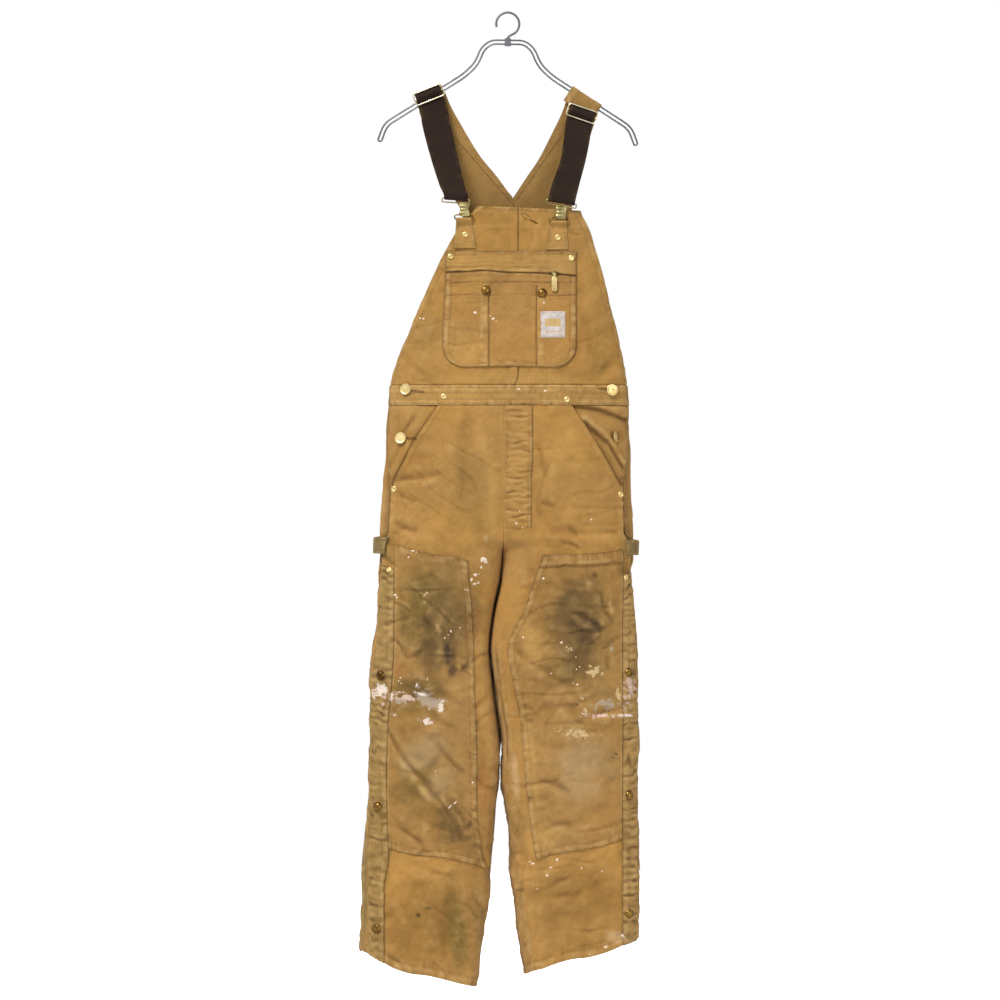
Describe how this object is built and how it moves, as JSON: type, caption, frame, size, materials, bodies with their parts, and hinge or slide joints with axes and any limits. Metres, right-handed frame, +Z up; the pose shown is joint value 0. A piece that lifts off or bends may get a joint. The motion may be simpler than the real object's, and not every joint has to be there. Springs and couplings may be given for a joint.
{
  "type": "bib overalls on a wire hanger",
  "caption": "Paint-spattered duck canvas bib overalls with knee panels, a zipped bib pocket and open hollow legs, hanging by their straps on a steel wire hanger.",
  "frame": {"origin": "inner top of the hanger's hook, where the rail carries it", "axes": "+Z up, +X to the right seen from the front, +Y to the back; the bib's front faces -Y"},
  "size_m": [0.4588, 0.1097, 1.6014],
  "materials": {
    "duck_canvas": "washed, worn duck canvas with paint splashes",
    "knee_canvas": "soiled, faded duck canvas",
    "webbing": "elastic webbing",
    "brass": "worn brass",
    "steel": "polished wire",
    "label": "woven label, plain",
    "zip_tape": "woven tape",
    "thread": "sewing thread"
  },
  "bodies": {
    "garment": {"strap_left": "duck_canvas", "strap_right": "duck_canvas", "tab_left": "duck_canvas", "tab_right": "duck_canvas", "bib_front_left": "duck_canvas", "bib_front_right": "duck_canvas", "back_bib": "duck_canvas", "bib_pocket_band": "duck_canvas", "bib_pocket": "duck_canvas", "waistband_front": "duck_canvas", "waistband_back": "duck_canvas", "leg_front_left": "duck_canvas", "leg_front_right": "duck_canvas", "leg_back_left": "duck_canvas", "leg_back_right": "duck_canvas", "leg_flap_left": "duck_canvas", "leg_flap_right": "duck_canvas", "fly_placket": "duck_canvas", "side_facing_left": "duck_canvas", "side_facing_right": "duck_canvas", "hammer_loop_left": "duck_canvas", "hammer_loop_right": "duck_canvas", "knee_patch_left": "knee_canvas", "knee_patch_right": "knee_canvas", "webbing_left": "webbing", "webbing_right": "webbing", "hanger_frame": "steel", "hanger_hook": "steel", "label": "label", "zip_tape": "zip_tape", "slide_left": "brass", "slide_right": "brass", "clasp_left": "brass", "clasp_right": "brass", "tab_ring_left": "brass", "tab_ring_right": "brass", "zip_slider": "brass", "button_upper_left": "brass", "button_upper_right": "brass", "button_lower_left": "brass", "button_lower_right": "brass", "snap_pocket_left": "brass", "snap_pocket_right": "brass", "rivet_bib_left": "brass", "rivet_bib_right": "brass", "rivet_tab_left": "brass", "rivet_tab_right": "brass", "rivet_waist_left": "brass", "rivet_waist_right": "brass", "rivet_pocket_left": "brass", "rivet_pocket_right": "brass", "rivet_flap_left": "brass", "rivet_flap_right": "brass", "snap_flap_left_1": "brass", "snap_flap_left_2": "brass", "snap_flap_left_3": "brass", "snap_flap_right_1": "brass", "snap_flap_right_2": "brass", "snap_flap_right_3": "brass"},
    "pull": {"zip_pull": "brass"}
  },
  "joints": [
    {"name": "zip_pull_swing", "type": "hinge", "parent": "garment", "child": "pull", "pos_m": [0.076, -0.0358, -0.43047], "axis": [-1, 0, 0], "range_deg": [0, 150]}
  ]
}
